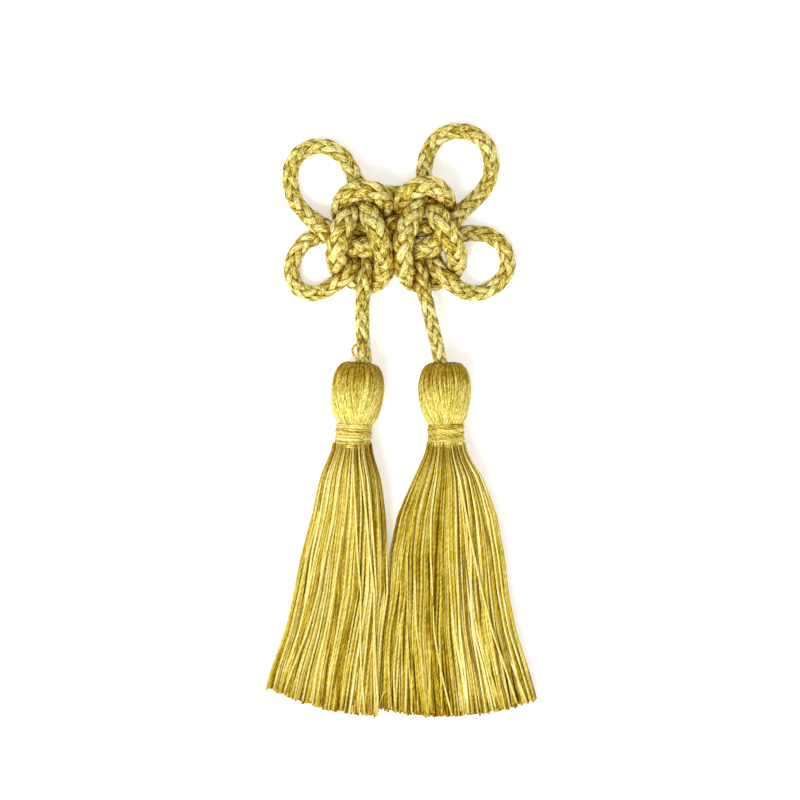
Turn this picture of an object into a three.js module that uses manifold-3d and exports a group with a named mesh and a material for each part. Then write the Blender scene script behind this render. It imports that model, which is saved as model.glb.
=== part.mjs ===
import * as THREE from 'three';
import { mergeVertices } from 'three/addons/utils/BufferGeometryUtils.js';
import Module from 'manifold-3d';

// A knotted silk cord with a tassel on each end, lying face up. Millimetres: X to the right,
// Y up the face, Z off the surface that it lies on. The origin is under the middle of the piece.

const wasm = await Module();
wasm.setup();

// The cord is plaited: its surface rises and falls by this share of its radius.
const CORD_SIDES = 8;
const CORD_STEP = 1.5;
const DIVISIONS_PER_POINT = 20;
const PLAIT_RELIEF = 0.07;
const CLEARANCE = 0.3;
// Stretches of cord closer than this along its length are neighbours, not crossings.
const SAME_STRETCH = 9;

// The cord's way from the left tassel through both halves of the knot to the right tassel.
// Columns: x, y, height of the middle, radius before it is pressed.
const CORD_ROUTE = [
  // left leg, rising out of its tassel
  [-8.6, 10.5, 6.1, 1.75], [-8.8, 13, 6.2, 1.75], [-9.1, 16.3, 6.2, 1.75], [-9.4, 20.2, 6, 1.75],
  [-9.5, 24, 5.8, 1.75], [-9.5, 27.8, 5.6, 1.75], [-9.2, 31.2, 5.4, 1.9], [-8.8, 34.3, 5, 2.2],
  [-8.4, 37.4, 3.8, 2.2],
  // riser at the back
  [-8.4, 40.3, 2.6, 2.1], [-7.7, 43.2, 1.9, 2.1], [-6.2, 45.8, 1.9, 2.1], [-4.6, 48, 2.6, 2.1],
  // top band of the left half
  [-3.7, 50.2, 5, 2.4], [-4.3, 52.6, 7.4, 2.5], [-6.2, 54.4, 8.9, 2.6], [-9.4, 55.1, 9.3, 2.6],
  [-12.4, 54.3, 8.8, 2.5], [-14.2, 52.6, 7, 2.4], [-14.9, 50.6, 4.4, 2.3],
  // riser at the back, left
  [-14.6, 48.2, 2.2, 2.1], [-13.7, 45.6, 1.9, 2.1], [-12.7, 43, 2, 2.1], [-12, 40.3, 2.8, 2.2],
  [-12, 37.7, 4.6, 2.3],
  // lower left ear
  [-13.2, 35.3, 5.7, 2.3], [-15.7, 33, 4.9, 2.1], [-18.7, 31.1, 3, 2], [-21.8, 30.4, 2.1, 2],
  [-24.7, 31.6, 1.9, 2], [-26.3, 34.1, 1.9, 2], [-26.4, 37.3, 1.9, 2], [-25.3, 40.3, 1.9, 2],
  [-23.3, 42.7, 2.1, 2], [-20.6, 44, 2.7, 2.1],
  // crosses at the back to the right half
  [-17.8, 44.6, 3.3, 2.3], [-14.9, 45.5, 4.6, 2.4], [-12, 46.1, 4.9, 2.4], [-9.1, 46.1, 4.9, 2.4],
  [-6.7, 45.4, 4.5, 2.4], [-4.3, 44, 3.6, 2.3], [-1.7, 42.5, 3, 2.3],
  // middle band of the right half
  [1, 41.4, 4.3, 2.6], [3.6, 40.9, 6, 2.7], [6.7, 41.5, 6.5, 2.7], [8.9, 43.2, 7.5, 2.6],
  [10.6, 45.6, 7.8, 2.5], [12.2, 47.9, 6.9, 2.3],
  // upper right ear
  [14.4, 50.2, 5.2, 2.1], [16.8, 52.3, 3.6, 2], [19.2, 54.8, 2.4, 2], [20.9, 57.8, 1.9, 2],
  [21.5, 61.2, 1.9, 2], [20.9, 64.7, 1.9, 2], [19, 67.6, 1.9, 2], [16.1, 69.2, 1.9, 2],
  [12.8, 69.5, 1.9, 2], [9.8, 68.6, 1.9, 2], [7.4, 66.5, 2.1, 2], [6, 63.6, 2.7, 2],
  [5.4, 60.5, 3.8, 2], [5.3, 57.4, 5.1, 2.1],
  // inner band of the right half, going down
  [4.6, 54.5, 5.9, 2.4], [3.6, 51.6, 7, 2.6], [2.3, 48.7, 8.4, 2.7], [1.2, 45.8, 9.5, 2.7],
  [0.3, 42.7, 10, 2.7], [0, 39.8, 9.8, 2.7], [0.2, 37.3, 8.4, 2.7], [1, 35.1, 6, 2.6],
  // bight behind the right leg
  [2.6, 33.3, 3.4, 2.5], [5, 32.9, 1.9, 2.5], [7.9, 33.5, 1.9, 2.5], [10.5, 34.6, 1.9, 2.5],
  [12.4, 36.2, 3.4, 2.5],
  // outer band of the right half, going up
  [13.1, 38.5, 6.8, 2.7], [12.6, 41, 9.2, 2.8], [11.2, 43.8, 10.7, 2.8], [9.7, 46.7, 10.7, 2.8],
  [8.1, 49.6, 7.8, 2.7], [6.2, 52.2, 4.1, 2.5],
  // top cross-over between the halves
  [4, 53.7, 2.1, 2.3], [1.2, 54.1, 2.2, 2.2], [-1.7, 54.3, 2.4, 2.2], [-4.6, 54.4, 2.3, 2.2],
  [-7.4, 53.9, 2.3, 2.3],
  // outer band of the left half, going down
  [-9.9, 52.7, 2.7, 2.5], [-11.6, 50.6, 5.2, 2.7], [-13.2, 48.1, 8.2, 2.8], [-14.4, 45.4, 10.2, 2.8],
  [-15.2, 42.5, 10.2, 2.8], [-15.6, 39.7, 8.8, 2.8],
  // bight behind the left leg
  [-15.5, 37.4, 5.8, 2.6], [-14.5, 35.6, 2.5, 2.5], [-12.4, 34.2, 1.8, 2.5], [-9.6, 33.2, 1.9, 2.5],
  [-7, 32.9, 2.6, 2.5],
  // inner band of the left half, going up
  [-5, 34.4, 5, 2.6], [-4.1, 36.7, 7.8, 2.7], [-4, 39.3, 9.6, 2.7], [-4.8, 42.1, 10.3, 2.7],
  [-5.9, 45.1, 10.1, 2.7], [-7.2, 48, 8.6, 2.7], [-8.5, 50.9, 7, 2.6], [-9.7, 53.8, 5.9, 2.4],
  // upper left ear
  [-10.8, 56.6, 5.2, 2.1], [-11.9, 59.5, 4.2, 2], [-13.4, 62.3, 3, 2], [-15.8, 64.6, 2.2, 2],
  [-18.8, 65.8, 1.9, 2], [-22.1, 65.5, 1.9, 2], [-25, 63.7, 1.9, 2], [-26.6, 60.8, 1.9, 2],
  [-26.9, 57.5, 1.9, 2], [-26.3, 54.2, 2, 2], [-24.6, 51.2, 2.5, 2], [-22.3, 48.8, 3.8, 2.1],
  // middle band of the left half
  [-19.9, 46.9, 5.4, 2.4], [-17.5, 45.1, 7, 2.6], [-15.1, 43.1, 7.2, 2.7], [-12.7, 41.7, 6.7, 2.7],
  [-10, 41.5, 6.3, 2.7], [-7.4, 41.7, 6.5, 2.7], [-5.2, 43.3, 7.1, 2.6], [-3.4, 45.5, 7.2, 2.5],
  // crosses to the lower right ear
  [-1.2, 46.9, 6.8, 2.5], [1.2, 46.9, 6, 2.5], [4.1, 46.4, 5.2, 2.5], [7.2, 45.9, 4.9, 2.5],
  [10.2, 45.2, 4.8, 2.4], [13.1, 44.7, 3.6, 2.2],
  // lower right ear
  [16.1, 44.9, 2.6, 2], [19.2, 44.8, 2.1, 2], [22.2, 43.7, 1.9, 2], [24.5, 41.4, 1.9, 2],
  [25.5, 38.3, 1.9, 2], [24.8, 35, 1.9, 2], [22.6, 32.4, 1.9, 2], [19.6, 30.8, 1.9, 2],
  [16.3, 30.6, 2.6, 2], [13.2, 31.9, 4.4, 2.1], [10.6, 34.1, 5.5, 2.3],
  // riser at the back, right
  [8.3, 36.7, 4.6, 2.3], [7.4, 39.5, 2.9, 2.2], [7.7, 42.4, 1.8, 2.1], [8.8, 45.1, 1.8, 2.1],
  [9.8, 47.8, 2.2, 2.1],
  // top band of the right half
  [10.7, 50.2, 4.2, 2.3], [10.6, 52.7, 6.8, 2.4], [8.9, 55.1, 8.7, 2.5], [5.9, 56.1, 9.3, 2.6],
  [2.8, 55.1, 8.9, 2.6], [0.5, 53.2, 7.5, 2.5],
  // riser at the back, inner
  [-0.6, 50.9, 5.2, 2.3], [-0.4, 48.4, 2.7, 2.1], [1, 45.8, 1.9, 2.1], [2.4, 43.2, 1.8, 2.1],
  // right leg, going down into its tassel
  [3.5, 40.3, 2.1, 2.1], [3.9, 37.4, 3.8, 2.2], [4.4, 34.6, 5, 2.2], [5.1, 31.4, 5.4, 1.9],
  [6, 28.1, 5.7, 1.75], [6.8, 24.5, 5.9, 1.75], [7.7, 20.9, 6.1, 1.75], [8.5, 17.3, 6.2, 1.75],
  [9.3, 13, 6.2, 1.75], [9.7, 10.5, 6.1, 1.75],
];

// The tassel's head, the neck inside its binding and the collar that the strands grow from.
// Columns: distance below the head's top, radius.
const HEAD_SIDES = 24;
const HEAD_PROFILE = [
  [0, 3.2], [0.5, 4.4], [1.7, 5.3], [3.4, 5.95], [5, 6.3], [8.2, 6.35], [10.6, 6.05], [12.9, 5.4],
  [14.6, 4.4], [14.65, 3.4], [20.75, 3.4], [20.8, 4.2], [21.6, 4.6], [23.3, 5.3],
];
const NECK_START = 14.65;
const NECK_END = 20.75;
// The socket that the cord's end sits in, its depth in cord radii.
const SOCKET_SIDES = 10;
const SOCKET_DEPTH = 4;

// The binding: thread turns side by side round the neck.
const BINDING_SIDES = 14;
const BINDING_TURNS = 9;
const BINDING_BORE = 3.8;
const BINDING_RADIUS = 4.4;
const TURN_RELIEF = 0.18;

// The skirt's strands stand in rings, one inside the other, each three-sided with its flat side down.
// Columns: share of the skirt's size, strands in the ring.
const STRAND_RINGS = [[1, 36], [0.75, 27], [0.5, 18], [0.25, 9]];
// Columns: share of the strand's length, width as a share of the skirt's half width there, height.
const STRAND_SECTIONS = [
  [0, 0.105, 0.42], [0.1, 0.092, 0.48], [0.25, 0.082, 0.52], [0.55, 0.075, 0.58], [1, 0.072, 0.62],
];
const STRAND_ROOT_DEPTH = 1;
// Neighbouring strands are cut unevenly, by up to this much, in no order that shows.
const STRAND_LENGTH_SPREAD = 0.6;
const UNEVEN_STEP = 12.9898;
// An outer strand's middle stays this share of its width inside the skirt's edge.
const EDGE_INSET = 0.6;
// Passes that settle a strand's tip at its length from the neck.
const TIP_PASSES = 4;
// The skirt is round at the neck and spreads over this length into a dome on a flat underside: crowd
// draws the strands from its edges to its middle, crown and base square its upper and lower halves.
const SPREAD_LENGTH = 15.4;
const DOME = { crowd: 0.25, crown: 0.3, base: 0.5, press: 0.25 };

// Each tassel leans a little. top and collar are the two ends of its axis, legEnd and legNext the
// cord's last two points in it, reach the strand length from the neck at the left and right edges.
// Skirt columns: y, left edge, right edge, height of the middle, half thickness.
const TASSELS = {
  left: {
    top: [-10.1, 13.9, 6.1],
    collar: [-12.2, -9.3, 5.35],
    legEnd: CORD_ROUTE[0],
    legNext: CORD_ROUTE[1],
    neck: [-11.9, -6.6],
    reach: [60.9, 64.5],
    skirt: [
      [-6.6, -16.3, -7.6, 5.45, 4.35], [-9.4, -17.5, -6.9, 5.3, 5.1], [-13.9, -19.4, -5.5, 4.9, 4.9],
      [-18.5, -20.4, -4.8, 4.6, 4.6], [-23.2, -21.4, -4.3, 4.3, 4.3], [-32.4, -23.9, -3.8, 3.9, 3.9],
      [-41.5, -25.7, -3.6, 3.6, 3.6], [-50.6, -27.8, -4.9, 3.4, 3.4], [-60, -31.2, -5.6, 3.2, 3.2],
      [-71, -34.2, -6.1, 3, 3],
    ],
  },
  right: {
    top: [10, 13.9, 6.1],
    collar: [10.7, -9.4, 5.35],
    legEnd: CORD_ROUTE.at(-1),
    legNext: CORD_ROUTE.at(-2),
    neck: [10.6, -6.6],
    reach: [64.5, 64.2],
    skirt: [
      [-6.6, 6.3, 14.9, 5.45, 4.35], [-9.4, 5.2, 16.2, 5.3, 5.1], [-13.9, 3.1, 19.1, 4.9, 4.9],
      [-18.5, 1, 20.9, 4.6, 4.6], [-23.2, -0.9, 22.5, 4.3, 4.3], [-32.4, -2.7, 24.2, 3.9, 3.9],
      [-41.5, -3.2, 25.3, 3.6, 3.6], [-50.6, -4.5, 27.1, 3.4, 3.4], [-60, -5.2, 30.1, 3.2, 3.2],
      [-71, -5.7, 33.2, 3, 3],
    ],
  },
};

// A loop of thin thread at the top of the left tassel. Columns: x, y, height of the middle.
const LOOP_RADIUS = 0.4;
const LOOP_SIDES = 6;
const LOOP_STEPS = 20;
const LOOP_ROUTE = [
  [-10.7, 14.4, 8.65], [-11.1, 15.1, 8.6], [-11.7, 15.9, 8.4], [-11.9, 16.9, 8.4], [-11.4, 17.8, 8.6],
  [-10.6, 18.1, 8.8], [-9.8, 17.8, 8.9], [-9.2, 16.9, 8.9], [-9.2, 15.8, 8.9], [-9.5, 14.4, 8.75],
];

const GOLD = { color: 0xd6b94f, metalness: 0, roughness: 0.55 };

// Closes a row of rings into one body. The rings turn anticlockwise about the way they follow each
// other, and each face's diagonal joins the corners that a plait raises.
function skin(rings) {
  const sides = rings[0].length;
  const last = rings.length - 1;
  const at = (i, k) => i * sides + (k % sides);
  const index = [];
  for (let i = 0; i < last; i++) {
    for (let k = 0; k < sides; k++) {
      const [a, b, c, d] = [at(i, k), at(i, k + 1), at(i + 1, k + 1), at(i + 1, k)];
      if ((i + k) % 2) index.push(a, b, d, b, c, d);
      else index.push(a, b, c, a, c, d);
    }
  }
  for (let k = 1; k < sides - 1; k++) {
    index.push(at(0, 0), at(0, k + 1), at(0, k));
    index.push(at(last, 0), at(last, k), at(last, k + 1));
  }
  const geometry = new THREE.BufferGeometry().setFromPoints(rings.flat());
  geometry.setIndex(index);
  return geometry;
}

// A round section about centre, in the plane of two unit vectors, with the radius at each angle.
function ring(centre, across, up, sides, radiusAt) {
  return Array.from({ length: sides }, (_, k) => {
    const angle = (2 * Math.PI * k) / sides;
    const direction = across.clone().multiplyScalar(Math.cos(angle)).addScaledVector(up, Math.sin(angle));
    return direction.clone().multiplyScalar(radiusAt(direction, k)).add(centre);
  });
}

// What lies on the surface is flat where it touches it.
function restOnSurface(rings) {
  for (const point of rings.flat()) point.z = Math.max(point.z, 0);
  return rings;
}

// Points, frames and radii at even steps along the cord.
function alongCord(route) {
  const curve = new THREE.CatmullRomCurve3(route.map(([x, y, z]) => new THREE.Vector3(x, y, z)));
  curve.arcLengthDivisions = DIVISIONS_PER_POINT * route.length;
  const steps = Math.round(curve.getLength() / CORD_STEP);
  const { normals, binormals } = curve.computeFrenetFrames(steps, false);
  return Array.from({ length: steps + 1 }, (_, i) => {
    const t = curve.getUtoTmapping(i / steps);
    const row = Math.min(Math.floor(t * (route.length - 1)), route.length - 2);
    const radius = THREE.MathUtils.lerp(route[row][3], route[row + 1][3], t * (route.length - 1) - row);
    const distance = (i / steps) * curve.getLength();
    return { centre: curve.getPoint(t), across: normals[i], up: binormals[i], radius, distance };
  });
}

// How far the cord reaches in a direction before it meets another stretch pressed against it. The two
// share the space between their middles by their radii.
function pressedRadius(station, direction, radius, stations) {
  let reach = radius;
  for (const other of stations) {
    if (Math.abs(other.distance - station.distance) < SAME_STRETCH) continue;
    const between = other.centre.clone().sub(station.centre);
    const span = between.length();
    const towards = direction.dot(between) / span;
    if (towards <= 0) continue;
    const share = (span * station.radius) / (station.radius + other.radius) - CLEARANCE / 2;
    reach = Math.min(reach, share / towards);
  }
  return reach;
}

function knotCord() {
  const stations = alongCord(CORD_ROUTE);
  return skin(restOnSurface(stations.map((station, i) =>
    ring(station.centre, station.across, station.up, CORD_SIDES, (direction, k) => {
      const raised = (i + k) % 2 ? 1 - PLAIT_RELIEF : 1 + PLAIT_RELIEF;
      return pressedRadius(station, direction, station.radius * raised, stations);
    }))));
}

// A point on the tassel's axis, and the two directions across it.
function axisFrame({ top, collar }) {
  const start = new THREE.Vector3(...top);
  const along = new THREE.Vector3(...collar).sub(start).normalize();
  const across = new THREE.Vector3(0, 0, 1).cross(along).negate().normalize();
  return { at: (distance) => start.clone().addScaledVector(along, distance), along, across,
    up: along.clone().cross(across) };
}

function headAndCollar(tassel) {
  const { at, across, up } = axisFrame(tassel);
  return skin(restOnSurface(HEAD_PROFILE.map(([distance, radius]) =>
    ring(at(distance), across, up, HEAD_SIDES, () => radius))));
}

// The hole in the head that the cord's end sits in.
function legSocket({ legEnd, legNext }) {
  const end = new THREE.Vector3(...legEnd.slice(0, 3));
  const along = new THREE.Vector3(...legNext.slice(0, 3)).sub(end).normalize();
  const across = new THREE.Vector3(0, 0, 1).cross(along).normalize();
  const up = along.clone().cross(across);
  const radius = (legEnd[3] * (1 + PLAIT_RELIEF) + CLEARANCE) / Math.cos(Math.PI / SOCKET_SIDES);
  const depth = SOCKET_DEPTH * legEnd[3];
  return skin([-CLEARANCE, depth].map((distance) =>
    ring(end.clone().addScaledVector(along, distance), across, up, SOCKET_SIDES, () => radius)));
}

// The skirt's row at a height y, between the two rows of its table that hold it.
function skirtAt({ skirt }, y) {
  const row = Math.max(0, skirt.findLastIndex(([rowY]) => rowY >= y));
  const [above, below] = [skirt[row], skirt[Math.min(row + 1, skirt.length - 1)]];
  const share = above === below ? 0 : (above[0] - y) / (above[0] - below[0]);
  const between = above.map((value, k) => THREE.MathUtils.lerp(value, below[k], share));
  const [, left, right, middle, half] = between;
  return { centre: (left + right) / 2, halfWidth: (right - left) / 2, middle, half };
}

// Where a strand of a ring lies at a height y: on a circle at the collar, then on a dome with a flat
// underside, with the strands spread evenly round both.
function strandPlace(tassel, size, angle, y, widthShare) {
  const { centre, halfWidth, middle, half } = skirtAt(tassel, y);
  const width = widthShare * halfWidth;
  const spread = THREE.MathUtils.smoothstep((tassel.neck[1] - y) / SPREAD_LENGTH, 0, 1);
  const turned = angle + DOME.crowd * spread * Math.sin(2 * angle);
  const rise = Math.sin(angle);
  const dome = Math.abs(rise) ** (1 - DOME.crown * spread);
  const flat = Math.min(1, (1 + DOME.press * spread) * Math.abs(rise) ** (1 - DOME.base * spread));
  const x = centre + size * (halfWidth - EDGE_INSET * width) * Math.cos(turned);
  const z = Math.max(0, middle + size * half * (rise > 0 ? dome : -flat));
  return { x, z, width };
}

// The height of a strand's tip, where its length from the neck ends.
function strandTip(tassel, size, angle, length) {
  let y = tassel.neck[1] - length;
  for (let pass = 0; pass < TIP_PASSES; pass++) {
    const { x } = strandPlace(tassel, size, angle, y, 0);
    y = tassel.neck[1] - Math.sqrt(length ** 2 - (x - tassel.neck[0]) ** 2);
  }
  return y;
}

function strand(tassel, size, angle, number, rootY) {
  const [reachLeft, reachRight] = tassel.reach;
  const uneven = STRAND_LENGTH_SPREAD * Math.sin(UNEVEN_STEP * number);
  const even = THREE.MathUtils.lerp(reachLeft, reachRight, (1 + size * Math.cos(angle)) / 2);
  const length = even + uneven;
  const tipY = strandTip(tassel, size, angle, length);
  return skin(STRAND_SECTIONS.map(([share, widthShare, height]) => {
    const y = THREE.MathUtils.lerp(rootY, tipY, share);
    const { x, z, width } = strandPlace(tassel, size, angle, y, widthShare);
    return [[x + width / 2, z], [x, z + height], [x - width / 2, z]]
      .map(([cornerX, cornerZ]) => new THREE.Vector3(cornerX, y, cornerZ));
  }));
}

function strands(tassel) {
  const rootY = tassel.neck[1] - STRAND_ROOT_DEPTH;
  return STRAND_RINGS.flatMap(([size, count]) => Array.from({ length: count }, (_, k) =>
    strand(tassel, size, ((k + 0.5) * 2 * Math.PI) / count, k + count, rootY)));
}

function toSolid(geometry) {
  const vertProperties = new Float32Array(geometry.attributes.position.array);
  const triVerts = new Uint32Array(geometry.index.array);
  return new wasm.Manifold(new wasm.Mesh({ numProp: 3, vertProperties, triVerts }));
}

function toGeometry(solid) {
  const { vertProperties, triVerts } = solid.getMesh();
  const geometry = new THREE.BufferGeometry();
  geometry.setAttribute('position', new THREE.BufferAttribute(vertProperties, 3));
  geometry.setIndex(new THREE.BufferAttribute(triVerts, 1));
  return geometry;
}

// Head, neck and collar in one, with the strands' roots fused into the collar.
function tasselBody(tassel) {
  const backing = toSolid(headAndCollar(tassel)).subtract(toSolid(legSocket(tassel)));
  return toGeometry(strands(tassel).reduce((joined, geometry) => joined.add(toSolid(geometry)), backing));
}

function binding() {
  const length = NECK_END - NECK_START - 2 * CLEARANCE;
  const bumps = 2 * BINDING_TURNS;
  const outside = Array.from({ length: bumps + 1 }, (_, k) =>
    new THREE.Vector2(k % 2 ? BINDING_RADIUS : BINDING_RADIUS - TURN_RELIEF, (k / bumps - 0.5) * length));
  const bore = [new THREE.Vector2(BINDING_BORE, length / 2), new THREE.Vector2(BINDING_BORE, -length / 2)];
  const geometry = new THREE.LatheGeometry([...outside, ...bore, outside[0]], BINDING_SIDES);
  geometry.deleteAttribute('normal');
  geometry.deleteAttribute('uv');
  return mergeVertices(geometry);
}

function threadLoop() {
  const curve = new THREE.CatmullRomCurve3(LOOP_ROUTE.map((point) => new THREE.Vector3(...point)));
  const { normals, binormals } = curve.computeFrenetFrames(LOOP_STEPS, false);
  return skin(curve.getSpacedPoints(LOOP_STEPS).map((centre, i) =>
    ring(centre, normals[i], binormals[i], LOOP_SIDES, () => LOOP_RADIUS)));
}

function mesh(name, geometry) {
  const piece = new THREE.Mesh(geometry, new THREE.MeshStandardMaterial(GOLD));
  piece.name = name;
  return piece;
}

const group = new THREE.Group();
group.add(mesh('knot_cord', knotCord()));
for (const [side, tassel] of Object.entries(TASSELS)) {
  const { at, along } = axisFrame(tassel);
  const wrap = mesh(`binding_${side}`, binding());
  wrap.position.copy(at((NECK_START + NECK_END) / 2));
  wrap.quaternion.setFromUnitVectors(new THREE.Vector3(0, 1, 0), along);
  group.add(mesh(`tassel_${side}`, tasselBody(tassel)), wrap);
}
group.add(mesh('thread_loop', threadLoop()));

export default group;
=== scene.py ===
import math

import bpy
import numpy as np
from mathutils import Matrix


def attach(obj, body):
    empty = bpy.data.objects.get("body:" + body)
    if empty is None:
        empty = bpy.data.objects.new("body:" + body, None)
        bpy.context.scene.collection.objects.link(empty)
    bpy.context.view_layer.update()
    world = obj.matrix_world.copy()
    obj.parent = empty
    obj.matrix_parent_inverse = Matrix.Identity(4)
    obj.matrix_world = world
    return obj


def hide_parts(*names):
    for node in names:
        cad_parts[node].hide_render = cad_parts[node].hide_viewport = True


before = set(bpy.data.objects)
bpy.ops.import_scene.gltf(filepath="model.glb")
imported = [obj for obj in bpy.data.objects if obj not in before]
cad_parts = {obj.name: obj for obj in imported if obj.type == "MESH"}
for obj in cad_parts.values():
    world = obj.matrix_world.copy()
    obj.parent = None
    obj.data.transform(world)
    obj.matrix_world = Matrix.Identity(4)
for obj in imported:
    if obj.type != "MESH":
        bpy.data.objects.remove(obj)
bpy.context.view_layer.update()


# The view. The piece lies face up and is seen from straight above, with the ears of the knot at the
# top of the picture. The picture takes in 192 mm each way at the height of the cord's middle.
camera_data = bpy.data.cameras.new("camera")
camera_data.sensor_width = 36
camera_data.clip_start = 0.01
camera = bpy.data.objects.new("camera", camera_data)
bpy.context.scene.collection.objects.link(camera)
CAMERA_HEIGHT = 1.2
PICTURE_WIDTH = 0.192
PICTURE_MIDDLE = (-0.00048, 0.0048)
CORD_MIDDLE_HEIGHT = 0.005
camera_data.lens = camera_data.sensor_width * (CAMERA_HEIGHT - CORD_MIDDLE_HEIGHT) / PICTURE_WIDTH
camera.location = (*PICTURE_MIDDLE, CAMERA_HEIGHT)
bpy.context.scene.camera = camera


# The table. A sheet of matt white paper under the piece, wide enough to fill every view. It is lit
# a little from below, as on a light table, so that the shadows stay pale.
def surface_shader(name):
    """A new material, its node tree and the tree's surface shader."""
    material = bpy.data.materials.new(name)
    material.use_nodes = True
    tree = material.node_tree
    return material, tree, next(made for made in tree.nodes if made.type == "BSDF_PRINCIPLED")


paper_material, paper_tree, paper_shader = surface_shader("white_paper")
paper_shader.inputs["Base Color"].default_value = (0.93, 0.93, 0.93, 1)
paper_shader.inputs["Emission Color"].default_value = (1, 1, 1, 1)
paper_shader.inputs["Emission Strength"].default_value = 0.4
paper_shader.inputs["Roughness"].default_value = 0.9
paper_grain = paper_tree.nodes.new("ShaderNodeTexNoise")
paper_grain.inputs["Scale"].default_value = 900
paper_bump = paper_tree.nodes.new("ShaderNodeBump")
paper_bump.inputs["Strength"].default_value = 0.05
paper_bump.inputs["Distance"].default_value = 0.0001
paper_place = paper_tree.nodes.new("ShaderNodeTexCoord")
paper_tree.links.new(paper_place.outputs["Object"], paper_grain.inputs["Vector"])
paper_tree.links.new(paper_grain.outputs["Fac"], paper_bump.inputs["Height"])
paper_tree.links.new(paper_bump.outputs["Normal"], paper_shader.inputs["Normal"])

PAPER_HALF = 3
paper_mesh = bpy.data.meshes.new("paper")
paper_mesh.from_pydata(
    [(x * PAPER_HALF, y * PAPER_HALF, 0) for x, y in ((-1, -1), (1, -1), (1, 1), (-1, 1))],
    [], [(0, 1, 2, 3)])
paper_mesh.materials.append(paper_material)
paper = bpy.data.objects.new("paper", paper_mesh)
bpy.context.scene.collection.objects.link(paper)


# The light. A white tent all round, a wide soft lamp from the lower left of the picture, which puts
# the bright band low on each tassel's head, and a weak one from the upper right.
tent = bpy.data.worlds.new("tent")
tent.use_nodes = True
tent_light = tent.node_tree.nodes["Background"]
tent_light.inputs["Color"].default_value = (1, 1, 1, 1)
tent_light.inputs["Strength"].default_value = 0.6
bpy.context.scene.world = tent
bpy.context.scene.view_settings.view_transform = "Standard"

LAMP_STEP = 1.3
# Columns: name, way to the lamp in lamp steps, power in watts, width in metres.
LAMPS = [
    ("lamp_key", (-0.42, -0.6, 1.0), 25, 0.85),
    ("lamp_fill", (0.8, 0.5, 0.9), 3, 1.2),
]
for lamp_name, way, power, width in LAMPS:
    lamp_data = bpy.data.lights.new(lamp_name, "AREA")
    lamp_data.energy = power
    lamp_data.size = width
    lamp = bpy.data.objects.new(lamp_name, lamp_data)
    lamp.location = [LAMP_STEP * part for part in way]
    lamp.rotation_euler = (-lamp.location).to_track_quat("-Z", "Y").to_euler()
    bpy.context.scene.collection.objects.link(lamp)


# The knot. One plaited cord, twelve rayon strands over a soft core, about 4 mm thick, runs from the
# left tassel through both halves of the knot and its four ears to the right tassel. The knot is only
# pulled tight, so where two stretches meet they press each other flat.
MM = 0.001
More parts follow.
